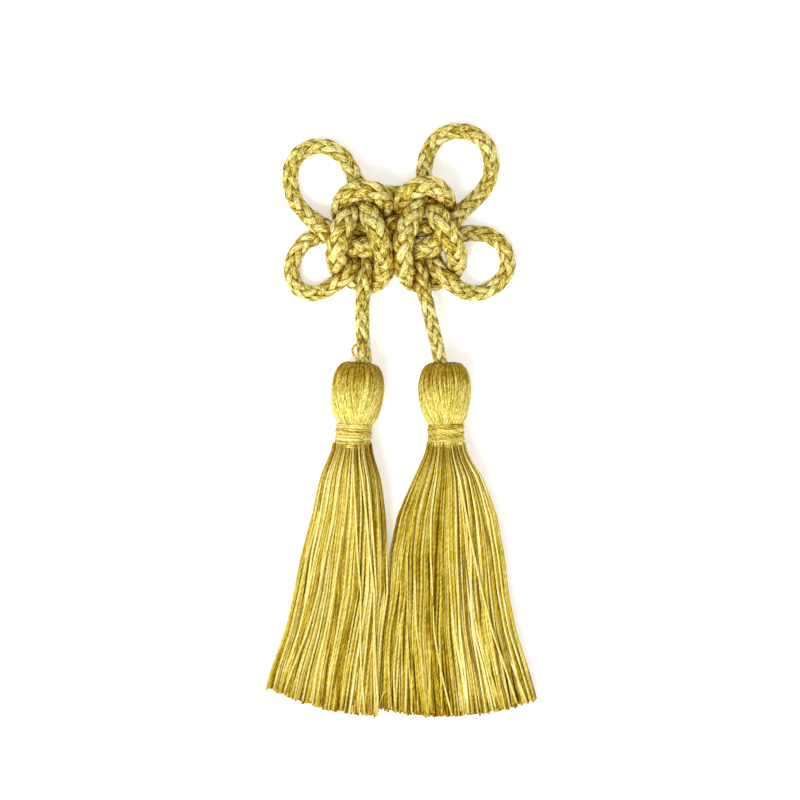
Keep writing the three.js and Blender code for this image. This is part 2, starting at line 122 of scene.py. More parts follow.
# Columns: x, y, height of the middle, radius before it is pressed, in millimetres.
CORD_ROUTE = [
    # left leg, rising out of its tassel
    (-8.6, 10.5, 6.1, 1.75), (-8.8, 13, 6.2, 1.75), (-9.1, 16.3, 6.2, 1.75), (-9.4, 20.2, 6, 1.75),
    (-9.5, 24, 5.8, 1.75), (-9.5, 27.8, 5.6, 1.75), (-9.2, 31.2, 5.4, 1.9), (-8.8, 34.3, 5, 2.2),
    (-8.4, 37.4, 3.8, 2.2),
    # riser at the back
    (-8.4, 40.3, 2.6, 2.1), (-7.7, 43.2, 1.9, 2.1), (-6.2, 45.8, 1.9, 2.1), (-4.6, 48, 2.6, 2.1),
    # top band of the left half
    (-3.7, 50.2, 5, 2.4), (-4.3, 52.6, 7.4, 2.5), (-6.2, 54.4, 8.9, 2.6), (-9.4, 55.1, 9.3, 2.6),
    (-12.4, 54.3, 8.8, 2.5), (-14.2, 52.6, 7, 2.4), (-14.9, 50.6, 4.4, 2.3),
    # riser at the back, left
    (-14.6, 48.2, 2.2, 2.1), (-13.7, 45.6, 1.9, 2.1), (-12.7, 43, 2, 2.1), (-12, 40.3, 2.8, 2.2),
    (-12, 37.7, 4.6, 2.3),
    # lower left ear
    (-13.2, 35.3, 5.7, 2.3), (-15.7, 33, 4.9, 2.1), (-18.7, 31.1, 3, 2), (-21.8, 30.4, 2.1, 2),
    (-24.7, 31.6, 1.9, 2), (-26.3, 34.1, 1.9, 2), (-26.4, 37.3, 1.9, 2), (-25.3, 40.3, 1.9, 2),
    (-23.3, 42.7, 2.1, 2), (-20.6, 44, 2.7, 2.1),
    # crosses at the back to the right half
    (-17.8, 44.6, 3.3, 2.3), (-14.9, 45.5, 4.6, 2.4), (-12, 46.1, 4.9, 2.4), (-9.1, 46.1, 4.9, 2.4),
    (-6.7, 45.4, 4.5, 2.4), (-4.3, 44, 3.6, 2.3), (-1.7, 42.5, 3, 2.3),
    # middle band of the right half
    (1, 41.4, 4.3, 2.6), (3.6, 40.9, 6, 2.7), (6.7, 41.5, 6.5, 2.7), (8.9, 43.2, 7.5, 2.6),
    (10.6, 45.6, 7.8, 2.5), (12.2, 47.9, 6.9, 2.3),
    # upper right ear
    (14.4, 50.2, 5.2, 2.1), (16.8, 52.3, 3.6, 2), (19.2, 54.8, 2.4, 2), (20.9, 57.8, 1.9, 2),
    (21.5, 61.2, 1.9, 2), (20.9, 64.7, 1.9, 2), (19, 67.6, 1.9, 2), (16.1, 69.2, 1.9, 2),
    (12.8, 69.5, 1.9, 2), (9.8, 68.6, 1.9, 2), (7.4, 66.5, 2.1, 2), (6, 63.6, 2.7, 2),
    (5.4, 60.5, 3.8, 2), (5.3, 57.4, 5.1, 2.1),
    # inner band of the right half, going down
    (4.6, 54.5, 5.9, 2.4), (3.6, 51.6, 7, 2.6), (2.3, 48.7, 8.4, 2.7), (1.2, 45.8, 9.5, 2.7),
    (0.3, 42.7, 10, 2.7), (0, 39.8, 9.8, 2.7), (0.2, 37.3, 8.4, 2.7), (1, 35.1, 6, 2.6),
    # bight behind the right leg
    (2.6, 33.3, 3.4, 2.5), (5, 32.9, 1.9, 2.5), (7.9, 33.5, 1.9, 2.5), (10.5, 34.6, 1.9, 2.5),
    (12.4, 36.2, 3.4, 2.5),
    # outer band of the right half, going up
    (13.1, 38.5, 6.8, 2.7), (12.6, 41, 9.2, 2.8), (11.2, 43.8, 10.7, 2.8), (9.7, 46.7, 10.7, 2.8),
    (8.1, 49.6, 7.8, 2.7), (6.2, 52.2, 4.1, 2.5),
    # top cross-over between the halves
    (4, 53.7, 2.1, 2.3), (1.2, 54.1, 2.2, 2.2), (-1.7, 54.3, 2.4, 2.2), (-4.6, 54.4, 2.3, 2.2),
    (-7.4, 53.9, 2.3, 2.3),
    # outer band of the left half, going down
    (-9.9, 52.7, 2.7, 2.5), (-11.6, 50.6, 5.2, 2.7), (-13.2, 48.1, 8.2, 2.8), (-14.4, 45.4, 10.2, 2.8),
    (-15.2, 42.5, 10.2, 2.8), (-15.6, 39.7, 8.8, 2.8),
    # bight behind the left leg
    (-15.5, 37.4, 5.8, 2.6), (-14.5, 35.6, 2.5, 2.5), (-12.4, 34.2, 1.8, 2.5), (-9.6, 33.2, 1.9, 2.5),
    (-7, 32.9, 2.6, 2.5),
    # inner band of the left half, going up
    (-5, 34.4, 5, 2.6), (-4.1, 36.7, 7.8, 2.7), (-4, 39.3, 9.6, 2.7), (-4.8, 42.1, 10.3, 2.7),
    (-5.9, 45.1, 10.1, 2.7), (-7.2, 48, 8.6, 2.7), (-8.5, 50.9, 7, 2.6), (-9.7, 53.8, 5.9, 2.4),
    # upper left ear
    (-10.8, 56.6, 5.2, 2.1), (-11.9, 59.5, 4.2, 2), (-13.4, 62.3, 3, 2), (-15.8, 64.6, 2.2, 2),
    (-18.8, 65.8, 1.9, 2), (-22.1, 65.5, 1.9, 2), (-25, 63.7, 1.9, 2), (-26.6, 60.8, 1.9, 2),
    (-26.9, 57.5, 1.9, 2), (-26.3, 54.2, 2, 2), (-24.6, 51.2, 2.5, 2), (-22.3, 48.8, 3.8, 2.1),
    # middle band of the left half
    (-19.9, 46.9, 5.4, 2.4), (-17.5, 45.1, 7, 2.6), (-15.1, 43.1, 7.2, 2.7), (-12.7, 41.7, 6.7, 2.7),
    (-10, 41.5, 6.3, 2.7), (-7.4, 41.7, 6.5, 2.7), (-5.2, 43.3, 7.1, 2.6), (-3.4, 45.5, 7.2, 2.5),
    # crosses to the lower right ear
    (-1.2, 46.9, 6.8, 2.5), (1.2, 46.9, 6, 2.5), (4.1, 46.4, 5.2, 2.5), (7.2, 45.9, 4.9, 2.5),
    (10.2, 45.2, 4.8, 2.4), (13.1, 44.7, 3.6, 2.2),
    # lower right ear
    (16.1, 44.9, 2.6, 2), (19.2, 44.8, 2.1, 2), (22.2, 43.7, 1.9, 2), (24.5, 41.4, 1.9, 2),
    (25.5, 38.3, 1.9, 2), (24.8, 35, 1.9, 2), (22.6, 32.4, 1.9, 2), (19.6, 30.8, 1.9, 2),
    (16.3, 30.6, 2.6, 2), (13.2, 31.9, 4.4, 2.1), (10.6, 34.1, 5.5, 2.3),
    # riser at the back, right
    (8.3, 36.7, 4.6, 2.3), (7.4, 39.5, 2.9, 2.2), (7.7, 42.4, 1.8, 2.1), (8.8, 45.1, 1.8, 2.1),
    (9.8, 47.8, 2.2, 2.1),
    # top band of the right half
    (10.7, 50.2, 4.2, 2.3), (10.6, 52.7, 6.8, 2.4), (8.9, 55.1, 8.7, 2.5), (5.9, 56.1, 9.3, 2.6),
    (2.8, 55.1, 8.9, 2.6), (0.5, 53.2, 7.5, 2.5),
    # riser at the back, inner
    (-0.6, 50.9, 5.2, 2.3), (-0.4, 48.4, 2.7, 2.1), (1, 45.8, 1.9, 2.1), (2.4, 43.2, 1.8, 2.1),
    # right leg, going down into its tassel
    (3.5, 40.3, 2.1, 2.1), (3.9, 37.4, 3.8, 2.2), (4.4, 34.6, 5, 2.2), (5.1, 31.4, 5.4, 1.9),
    (6, 28.1, 5.7, 1.75), (6.8, 24.5, 5.9, 1.75), (7.7, 20.9, 6.1, 1.75), (8.5, 17.3, 6.2, 1.75),
    (9.3, 13, 6.2, 1.75), (9.7, 10.5, 6.1, 1.75),
]


# Points that stand in for each span of a curve while it is measured.
SPAN_POINTS = 20


def curve_through(points, step):
    """Points at even steps along a smooth curve through the given points, and where each lies."""
    ends = [2 * points[0] - points[1], *points, 2 * points[-1] - points[-2]]
    knots = np.array(ends)
    spans = np.sqrt(np.linalg.norm(np.diff(knots[:, :3], axis=0), axis=1))
    shares = np.linspace(0, 1, SPAN_POINTS, endpoint=False)
    fine, place = [], []
    for k in range(1, len(knots) - 2):
        before, here, after, beyond = knots[k - 1:k + 3]
        d0, d1, d2 = spans[k - 1:k + 2]
        out = ((here - before) / d0 - (after - before) / (d0 + d1) + (after - here) / d1) * d1
        into = ((after - here) / d1 - (beyond - here) / (d1 + d2) + (beyond - after) / d2) * d1
        for t in shares:
            fine.append(here + out * t + (3 * (after - here) - 2 * out - into) * t ** 2
                        + (2 * (here - after) + out + into) * t ** 3)
            place.append(k - 1 + t)
    fine.append(knots[-2])
    place.append(len(knots) - 3)
    fine, place = np.array(fine), np.array(place)
    steps = np.linalg.norm(np.diff(fine[:, :3], axis=0), axis=1)
    lengths = np.concatenate([[0], np.cumsum(steps)])
    count = int(round(lengths[-1] / step)) + 1
    even = np.linspace(0, lengths[-1], count)
    at_even = np.stack([np.interp(even, lengths, column) for column in fine.T], axis=1)
    return at_even, even, np.interp(even, lengths, place)


def carried_frames(points, first_across):
    """Two directions across the curve at each point, carried along it without twisting."""
    ways = np.gradient(points, axis=0)
    ways /= np.linalg.norm(ways, axis=1)[:, None]
    across = np.zeros_like(points)
    side = np.array(first_across, float)
    for k, way in enumerate(ways):
        side = side - way * side.dot(way)
        side /= np.linalg.norm(side)
        across[k] = side
    return across, np.cross(ways, across)


# Stretches of cord closer than this along its length are neighbours, not crossings.
SAME_STRETCH = 9 * MM
# Two stretches that press on each other stay this far apart.
PRESSED_GAP = 0.15 * MM
# Stretches with their middles further apart than this many radii don't meet.
MEETING_RADII = 6
# How far a stretch could reach with nothing in its way.
OPEN_REACH = 1.0
# Another stretch crowds a point that is nearer to it than this.
CROWDED_GAP = 1.5 * MM
# Keeps a division from zero.
TINY = 1e-6


def pressed_reach(middles, radii, distances, directions):
    """How far each station reaches each way before it meets another stretch pressed against it."""
    between = middles[None] - middles[:, None]
    spans = np.linalg.norm(between, axis=2)
    crossing = np.abs(distances[None] - distances[:, None]) >= SAME_STRETCH
    shares = spans * radii[:, None] / (radii[:, None] + radii[None]) - PRESSED_GAP
    reach = np.full(directions.shape[:2], OPEN_REACH)
    for k in range(len(middles)):
        near = crossing[k] & (spans[k] < MEETING_RADII * radii[k])
        if near.any():
            towards = directions[k] @ (between[k, near] / spans[k, near, None]).T
            limits = np.where(towards > TINY, shares[k, near] / np.maximum(towards, TINY), OPEN_REACH)
            reach[k] = np.minimum(reach[k], limits.min(axis=1))
    return reach


def crowding(points, middles, radii, distances):
    """How closely another stretch of the cord presses on each point, from 0 to 1."""
    gaps = np.linalg.norm(middles[None] - points[:, None], axis=2) - radii[None]
    gaps[np.abs(distances[None] - distances[:, None]) < SAME_STRETCH] = CROWDED_GAP
    return np.clip(1 - gaps.min(axis=1) / CROWDED_GAP, 0, 1)


def new_tree(name, inputs):
    """An empty Geometry Nodes tree with a geometry input, the named inputs and a geometry output."""
    tree = bpy.data.node_groups.new(name, "GeometryNodeTree")
    tree.interface.new_socket("Geometry", in_out="INPUT", socket_type="NodeSocketGeometry")
    for label, kind, value in inputs:
        socket = tree.interface.new_socket(label, in_out="INPUT", socket_type=kind)
        if value is not None:
            socket.default_value = value
    tree.interface.new_socket("Geometry", in_out="OUTPUT", socket_type="NodeSocketGeometry")
    return tree


def node(tree, kind, settings=None, **sockets):
    """Adds a node, sets its own settings, and links or sets its inputs by position or name."""
    made = tree.nodes.new(kind)
    for key, value in (settings or {}).items():
        setattr(made, key, value)
    for key, value in sockets.items():
        numbered = key[0] == "i" and key[1:].isdigit()
        socket = made.inputs[int(key[1:]) if numbered else key]
        if isinstance(value, bpy.types.NodeSocket):
            tree.links.new(value, socket)
        else:
            socket.default_value = value
    return made


def laid_thread_tree():
    """Sweeps a thread's oval section along every line of a mesh. Each line's points carry their
    thickness and the way their outer side faces."""
    tree = new_tree("laid_thread", [
        ("Half width", "NodeSocketFloat", 0.0004),
        ("Half thickness", "NodeSocketFloat", 0.0004),
        ("Corners", "NodeSocketInt", 8),
        ("Finish", "NodeSocketMaterial", None)])
    given = tree.nodes.new("NodeGroupInput").outputs
    lines = node(tree, "GeometryNodeMeshToCurve", i0=given["Geometry"])
    outer = node(tree, "GeometryNodeInputNamedAttribute", {"data_type": "FLOAT_VECTOR"}, Name="outer")
    facing = node(tree, "GeometryNodeSetCurveNormal", {"mode": "FREE"},
                  Curve=lines.outputs[0], Normal=outer.outputs[0])
    girth = node(tree, "GeometryNodeInputNamedAttribute", {"data_type": "FLOAT"}, Name="girth")

    # The section: a circle whose points remember their way round it, drawn out to an oval.
    circle = node(tree, "GeometryNodeCurvePrimitiveCircle", Resolution=given["Corners"], Radius=1.0)
    place = node(tree, "GeometryNodeInputPosition")
    around = node(tree, "GeometryNodeStoreNamedAttribute",
                  {"data_type": "FLOAT_VECTOR", "domain": "POINT"},
                  Geometry=circle.outputs[0], Name="around", Value=place.outputs[0])
    size = node(tree, "ShaderNodeCombineXYZ", i0=given["Half thickness"], i1=given["Half width"])
    oval = node(tree, "ShaderNodeVectorMath", {"operation": "MULTIPLY"},
                i0=place.outputs[0], i1=size.outputs[0])
    section = node(tree, "GeometryNodeSetPosition",
                   Geometry=around.outputs[0], Position=oval.outputs[0])

    swept = node(tree, "GeometryNodeCurveToMesh", Curve=facing.outputs[0], Scale=girth.outputs[0])
    tree.links.new(section.outputs[0], swept.inputs["Profile Curve"])
    swept.inputs["Fill Caps"].default_value = True
    smooth = node(tree, "GeometryNodeSetShadeSmooth", Geometry=swept.outputs[0])
    whole = node(tree, "GeometryNodeRealizeInstances", Geometry=smooth.outputs[0])
    finished = node(tree, "GeometryNodeSetMaterial",
                    Geometry=whole.outputs[0], Material=given["Finish"])
    node(tree, "NodeGroupOutput", i0=finished.outputs[0])
    return tree


laid_thread = laid_thread_tree()


def lay_threads(name, lines, finish, half_width, half_thickness, corners):
    """One mesh of threads. A line is a dict: points and outer have a value at each point, and
    girth, along, shade and the painted shade (painted light below zero) have one for the whole line or one
    at each point."""
    counts = [len(line["points"]) for line in lines]
    starts = np.concatenate([[0], np.cumsum(counts)])[:-1]
    edges = [(s + k, s + k + 1) for s, n in zip(starts, counts) for k in range(n - 1)]
    mesh = bpy.data.meshes.new(name)
    mesh.from_pydata(np.concatenate([line["points"] for line in lines]).tolist(), edges, [])
    outer = np.concatenate([line["outer"] for line in lines]).astype(np.float32)
    mesh.attributes.new("outer", "FLOAT_VECTOR", "POINT").data.foreach_set("vector", outer.ravel())
    for key in ("girth", "along", "shade", "deep"):
        values = [np.broadcast_to(np.asarray(line[key], float), (n,))
                  for line, n in zip(lines, counts)]
        mesh.attributes.new(key, "FLOAT", "POINT").data.foreach_set(
            "value", np.concatenate(values).astype(np.float32))
    thread = bpy.data.objects.new(name, mesh)
    bpy.context.scene.collection.objects.link(thread)
    modifier = thread.modifiers.new("laid_thread", "NODES")
    modifier.node_group = laid_thread
    values = {"Half width": half_width, "Half thickness": half_thickness, "Corners": corners,
              "Finish": finish}
    for item in laid_thread.interface.items_tree:
        if item.name in values:
            modifier[item.identifier] = values[item.name]
    return make_plain(thread)


def make_plain(piece):
    """Replaces a piece's mesh by what its modifiers make of it, pressed flat where it would go into
    the table, and takes the modifiers off."""
    bpy.context.view_layer.update()
    settled = piece.evaluated_get(bpy.context.evaluated_depsgraph_get())
    result = bpy.data.meshes.new_from_object(settled)
    piece.modifiers.clear()
    old = piece.data
    piece.data = result
    bpy.data.meshes.remove(old)
    result.name = piece.name
    places = np.empty(3 * len(result.vertices), np.float32)
    result.vertices.foreach_get("co", places)
    places[2::3] = np.maximum(places[2::3], 0)
    result.vertices.foreach_set("co", places)
    return piece


# The brown that painted shade goes towards, in crevices, in grooves and under other threads.
PAINTED_SHADE_BROWN = (0.26, 0.095, 0.0)
# A thread's shade also gives it its own place in the noise of the filaments and of the patches.
FILAMENT_OFFSET, PATCH_OFFSET = 61.7, 91.3
# Patches of tone along a thread, per millimetre.
PATCH_RATE = 0.15
# How far painted shade takes a thread down the tones, and how steep the sides of a groove are.
PAINTED_SHADE_TONE, GROOVE_SLOPE = 0.6, 3.0
ROUGHNESS_SPREAD = 0.2


def rayon(name, tones, contrast, filaments, plies, roughness=0.46):
    """Glossy dyed rayon. contrast is how far whole threads, patches of a thread and its filaments
    depart from the middle tone. filaments is their number round a thread, their length in mm and
    their relief. plies is the length of one full twist in mm, its relief and how dark its grooves
    are painted as shade. Painted shade darkens a thread and takes it towards the brown of shade;
    below zero it is painted light that lightens it."""
    material, tree, shader = surface_shader(name)

    def attribute(label):
        return node(tree, "ShaderNodeAttribute", {"attribute_name": label}).outputs

    def result_of(operation, first, second=0.0, third=0.0):
        made = node(tree, "ShaderNodeMath", {"operation": operation}, i0=first, i1=second, i2=third)
        return made.outputs[0]

    shade = attribute("shade")["Fac"]
    along = attribute("along")["Fac"]
    deep = attribute("deep")["Fac"]
    around = node(tree, "ShaderNodeSeparateXYZ", i0=attribute("around")["Vector"]).outputs
    thread_contrast, patch_contrast, filament_contrast = contrast
    filament_count, filament_length, filament_relief = filaments
    twist_length, ply_relief, painted_groove_shade = plies

    # The twist of the plies: two grooves that wind round the thread.
    turn = result_of("MULTIPLY", along, 2 * math.pi / twist_length)
    cosine, sine = result_of("COSINE", turn), result_of("SINE", turn)
    ply = result_of("ADD", result_of("MULTIPLY", around[0], cosine),
                    result_of("MULTIPLY", around[1], sine))
    side = result_of("SUBTRACT", result_of("MULTIPLY", around[1], cosine),
                     result_of("MULTIPLY", around[0], sine))
    ply_height = result_of("ABSOLUTE", ply)

    # The filaments: noise that is short round the thread and long along it, and turns with the plies.
    reach = filament_count / (2 * math.pi)
    own_place = result_of("MULTIPLY", shade, FILAMENT_OFFSET)
    filament_place = node(tree, "ShaderNodeCombineXYZ", i0=result_of("MULTIPLY", ply, reach),
                          i1=result_of("MULTIPLY", side, reach),
                          i2=result_of("MULTIPLY_ADD", along, 1 / filament_length, own_place))
    fine = node(tree, "ShaderNodeTexNoise", Vector=filament_place.outputs[0], Scale=1.0, Detail=3.0,
                Roughness=0.6).outputs["Fac"]

    # The tone: from dark to light by thread, patch and filament, and darker with painted shade.
    patch_place = node(tree, "ShaderNodeCombineXYZ", i0=result_of("MULTIPLY", shade, PATCH_OFFSET),
                       i1=result_of("MULTIPLY", along, PATCH_RATE))
    patch = node(tree, "ShaderNodeTexNoise", Vector=patch_place.outputs[0], Scale=1.0,
                 Detail=2.0).outputs["Fac"]
    tone = result_of("MULTIPLY_ADD", result_of("SUBTRACT", shade, 0.5), thread_contrast, 0.5)
    tone = result_of("MULTIPLY_ADD", result_of("SUBTRACT", patch, 0.5), 2 * patch_contrast, tone)
    tone = result_of("MULTIPLY_ADD", result_of("SUBTRACT", fine, 0.5), 2 * filament_contrast, tone)
    tone = result_of("MULTIPLY_ADD", deep, -PAINTED_SHADE_TONE, tone)
    ramp = node(tree, "ShaderNodeValToRGB", Fac=tone)
    ramp.color_ramp.elements[0].color = (*tones[0], 1)
    ramp.color_ramp.elements[1].color = (*tones[-1], 1)
    for k, colour in enumerate(tones[1:-1], 1):
        ramp.color_ramp.elements.new(k / (len(tones) - 1)).color = (*colour, 1)

    # Painted shade: the grooves and the thread's painted shade go towards brown.
    groove = result_of("MAXIMUM", result_of("MULTIPLY_ADD", ply_height, -GROOVE_SLOPE, 1.0), 0.0)
    dark = result_of("MINIMUM", result_of("MULTIPLY_ADD", groove, painted_groove_shade, deep), 1.0)
    colour = node(tree, "ShaderNodeMix", {"data_type": "RGBA"}, i0=dark)
    tree.links.new(ramp.outputs["Color"], colour.inputs[6])
    colour.inputs[7].default_value = (*PAINTED_SHADE_BROWN, 1)
    tree.links.new(colour.outputs[2], shader.inputs["Base Color"])

    filament_height = result_of("MULTIPLY", fine, filament_relief)
    height = result_of("MULTIPLY_ADD", ply_height, ply_relief, filament_height)
    bump = node(tree, "ShaderNodeBump", Strength=1.0, Distance=MM, Height=height)
    tree.links.new(bump.outputs["Normal"], shader.inputs["Normal"])
    rough = result_of("MULTIPLY_ADD", fine, ROUGHNESS_SPREAD, roughness - ROUGHNESS_SPREAD / 2)
    tree.links.new(rough, shader.inputs["Roughness"])
    shader.inputs["Metallic"].default_value = 0.3
    shader.inputs["Specular IOR Level"].default_value = 0.08
    shader.inputs["Specular Tint"].default_value = (1.0, 0.76, 0.25, 1)
    return material


CORD_STEP = 0.6 * MM
cord_rows = np.array(CORD_ROUTE) * MM
cord_stations, cord_distances, cord_place = curve_through(cord_rows, CORD_STEP)
cord_middles = cord_stations[:, :3]
cord_radii = np.interp(cord_place, np.arange(len(cord_rows)), cord_rows[:, 3])
cord_across, cord_up = carried_frames(cord_middles, (0, 0, 1))

# The plait is over two and under two, so that the strands of either way come up in their own three
# ribs along the cord. The ribs wander round it, because a looped cord turns a little about itself.
STRANDS_EACH_WAY = 6
PLAIT_LENGTH = 23 * MM
STRAND_HALF_WIDTH = 0.78 * MM
STRAND_HALF_THICKNESS = 0.34 * MM
PLAIT_RISE = 0.3 * MM
# Steepens the plait's wave, so that a strand stays over or under for longer.
PLAIT_DWELL = 1.5
PLAIN_RADIUS = 2 * MM
RIB_SHIFT = -math.pi / (2 * STRANDS_EACH_WAY)
RIB_START = 0.54
# Columns: length in millimetres over which the ribs wander once, how far in radians, start.
RIB_WANDER = [(83, 0.7, 0.4), (37, 0.3, 2.0)]
# Where another stretch presses, an over strand stands out and an under strand sinks by this share
# of its thickness, and none comes nearer to the cord's middle than this share of its radius.
PRESSED_STAND, LEAST_REACH = 0.35, 0.3
# Painted shade: how far a strand darkens where it goes under, where it is crowded and where it faces
# away from above, that is, points up by less than SIDE_UP, and how far all of it is lightened.
UNDER_PAINTED_SHADE, CROWDED_PAINTED_SHADE, SIDE_PAINTED_SHADE, OPEN_LIGHT = 0.32, 0.48, 0.22, 0.1
SIDE_UP = 0.35
SHADE_STEP = 0.37
cord_lines = []
cord_thickness = cord_radii / PLAIN_RADIUS
strand_thickness = STRAND_HALF_THICKNESS * cord_thickness
cord_turn = RIB_START + sum(
    size * np.sin(2 * math.pi * cord_distances / (length * MM) + start)
    for length, size, start in RIB_WANDER)
for way in (1, -1):
    for number in range(STRANDS_EACH_WAY):
        angle = 2 * math.pi * (number / STRANDS_EACH_WAY + way * cord_distances / PLAIT_LENGTH)
        wave = np.cos(STRANDS_EACH_WAY / 2 * (angle + RIB_SHIFT))
        over = np.clip(PLAIT_DWELL * way * wave, -1, 1)
        angle = angle + cord_turn
        outward = cord_across * np.cos(angle)[:, None] + cord_up * np.sin(angle)[:, None]
        plain = cord_radii - strand_thickness - PLAIT_RISE * (1 - over) * cord_thickness
        reach = pressed_reach(cord_middles, cord_radii, cord_distances, outward[:, None])[:, 0]
        pressed = np.minimum(plain, reach - strand_thickness * (1 - PRESSED_STAND * over))
        points = cord_middles + outward * np.maximum(pressed, LEAST_REACH * cord_radii)[:, None]
        points[:, 2] = np.maximum(points[:, 2], STRAND_HALF_THICKNESS)
        crowded = crowding(points, cord_middles, cord_radii, cord_distances)
        cord_lines.append({
            "points": points, "outer": outward, "girth": cord_thickness,
            "along": cord_distances / MM, "shade": (0.5 + SHADE_STEP * number * way) % 1,
            "deep": UNDER_PAINTED_SHADE * (1 - over) + CROWDED_PAINTED_SHADE * crowded
            + SIDE_PAINTED_SHADE * np.clip(SIDE_UP - outward[:, 2], 0, 1) - OPEN_LIGHT})

# The cord's tones, from dark to light. A plaited strand isn't twisted, so that one turn of its
# grooves would take longer than the cord.
CORD_GOLDS = [(0.23, 0.12, 0.0), (0.56, 0.43, 0.032), (0.83, 0.73, 0.205), (0.98, 0.95, 0.54)]
UNTWISTED = 1e6
cord_finish = rayon("plaited_rayon", CORD_GOLDS, contrast=(0.38, 0.4, 1.85), filaments=(20, 0.7, 0.3),
                    plies=(UNTWISTED, 0.12, 0.7))
knot = lay_threads("knot_strands", cord_lines, cord_finish, STRAND_HALF_WIDTH, STRAND_HALF_THICKNESS,
                   corners=8)
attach(knot, "root")
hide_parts("knot_cord")

# The core shows only as a dark line between the strands, darkened as painted shade, so that every second
# station is enough.
CORE_SHARE = 0.55
core_line = {"points": cord_middles[::2], "outer": cord_across[::2],
             "girth": cord_radii[::2] * CORE_SHARE, "along": cord_distances[::2] / MM,
             "shade": 0.2, "deep": 0.7}
core = lay_threads("cord_core", [core_line], cord_finish, 1.0, 1.0, corners=8)
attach(core, "root")
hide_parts("knot_cord")


# The tassels' heads. A bundle of fine rayon thread is doubled over the cord's end and combed down
# all round, so that every thread runs from the cord over the shoulder to the neck.

# top and collar are the two ends of the head's axis. reach is the skirt's length from the neck at
# its left and right edges. strays are loose threads: the angle of each at the neck and at its tip.
TASSELS = {
    "left": {
        "top": (-10.1, 13.9, 6.1), "collar": (-12.2, -9.3, 5.35), "neck": (-11.9, -6.6),
        "reach": (60.9, 64.5), "seed": 11, "strays": [(1.25, 0.45), (1.05, 0.5), (1.5, 0.8), (1.9, 2.2)],
        # Columns: y, left edge, right edge, height of the middle, half thickness.
        "skirt": [
            (-6.6, -16.3, -7.6, 5.45, 4.35), (-9.4, -17.5, -6.9, 5.3, 5.1), (-13.9, -19.4, -5.5, 4.9, 4.9),
            (-18.5, -20.4, -4.8, 4.6, 4.6), (-23.2, -21.4, -4.3, 4.3, 4.3), (-32.4, -23.9, -3.8, 3.9, 3.9),
            (-41.5, -25.7, -3.6, 3.6, 3.6), (-50.6, -27.8, -4.9, 3.4, 3.4), (-60, -31.2, -5.6, 3.2, 3.2),
            (-71, -34.2, -6.1, 3, 3)],
    },
    "right": {
        "top": (10, 13.9, 6.1), "collar": (10.7, -9.4, 5.35), "neck": (10.6, -6.6),
        "reach": (64.5, 64.2), "seed": 23, "strays": [(1.3, 0.85), (1.9, 1.6)],
        "skirt": [
            (-6.6, 6.3, 14.9, 5.45, 4.35), (-9.4, 5.2, 16.2, 5.3, 5.1), (-13.9, 3.1, 19.1, 4.9, 4.9),
            (-18.5, 1, 20.9, 4.6, 4.6), (-23.2, -0.9, 22.5, 4.3, 4.3), (-32.4, -2.7, 24.2, 3.9, 3.9),
            (-41.5, -3.2, 25.3, 3.6, 3.6), (-50.6, -4.5, 27.1, 3.4, 3.4), (-60, -5.2, 30.1, 3.2, 3.2),
            (-71, -5.7, 33.2, 3, 3)],
    },
}
# Columns: distance below the head's top, radius, in millimetres.
HEAD_PROFILE = [
    (0.9, 1.6), (0.25, 2.6), (0.15, 3.4), (0.6, 4.4), (1.7, 5.35), (3.4, 6.0), (5, 6.3), (6.6, 6.4),
    (8.2, 6.38), (10.6, 6.1), (12.9, 5.5), (14.2, 4.7), (15.2, 4.0), (16.2, 3.7),
]
# Columns: share of the head's size, threads in the layer.
HEAD_THREADS = [(1.0, 88), (0.965, 80)]
HEAD_SECTIONS = 26
# A combed thread is a little wider than thick.
HEAD_THREAD_HALF, HEAD_THREAD_WIDENING = 0.24, 1.15
# How far a thread strays from its even place, as a share of the spacing; its slant round the head,
# the spread of the slants, and its ripple, in radians.
HEAD_STRAY = 0.3
HEAD_SLANT, HEAD_SLANT_SPREAD, HEAD_RIPPLE = 0.12, 0.06, 0.03
RIPPLE_RATES = (0.3, 0.7)
# Towards the neck the threads are drawn to the front and back: how far, and from which share of
# their length over which share.
GATHER, GATHER_FROM, GATHER_OVER = 0.36, 0.35, 0.6
# How far a thread sinks between its neighbours, all of it and in waves.
HEAD_SINK, HEAD_SINK_WAVE, SINK_RATES = 0.16, 0.1, (0.2, 0.6)
# A thread gets thinner by this share over the last millimetres to the neck.
NECK_THINNING, NECK_LENGTH = 0.25, 4
# Painted shade darkens the top, on each thread down to its own length, and a painted sheen lightens the
# lower half, where the lamp from the lower left catches it.
PAINTED_SHADE_TOP, PAINTED_SHADE_TOP_LENGTH, PAINTED_SHADE_TOP_SPREAD, PAINTED_SHADE_TOP_FADE = 0.3, 8.8, 0.9, 3
PAINTED_SHEEN_LOW, PAINTED_SHEEN_LOW_FROM, PAINTED_SHEEN_LOW_FADE = 0.15, 8.5, 4
# All of a head is a little darker, and its inner layer is darker still with painted shade.
HEAD_DARK, INNER_LAYER_PAINTED_SHADE = 0.05, 0.2
# Each thread's noise starts somewhere in this length, in millimetres.
HEAD_NOISE_START = 9


def tassel_axis(tassel):
    """A function from distance below the head's top to a point, and the two directions across the
    axis."""
    top = np.array(tassel["top"], float)
    along = np.array(tassel["collar"], float) - top
    along /= np.linalg.norm(along)
    across = -np.cross((0, 0, 1), along)
    across /= np.linalg.norm(across)

    def place(distance):
        return top + np.multiply.outer(distance, along)

    return place, across, np.cross(along, across)


def even_profile(profile, count):
    """The distance, the radius and the length so far at even steps along a profile."""
    rows = np.array(profile, float)
    lengths = np.concatenate([[0], np.cumsum(np.linalg.norm(np.diff(rows, axis=0), axis=1))])
    even = np.linspace(0, lengths[-1], count)
    return np.interp(even, lengths, rows[:, 0]), np.interp(even, lengths, rows[:, 1]), even


def ease(t):
    """Goes smoothly from 0 to 1 while t does."""
    t = np.clip(t, 0, 1)
    return t * t * (3 - 2 * t)


def phase(chance):
    """Where a wave starts, in radians."""
    return chance.uniform(0, 6)


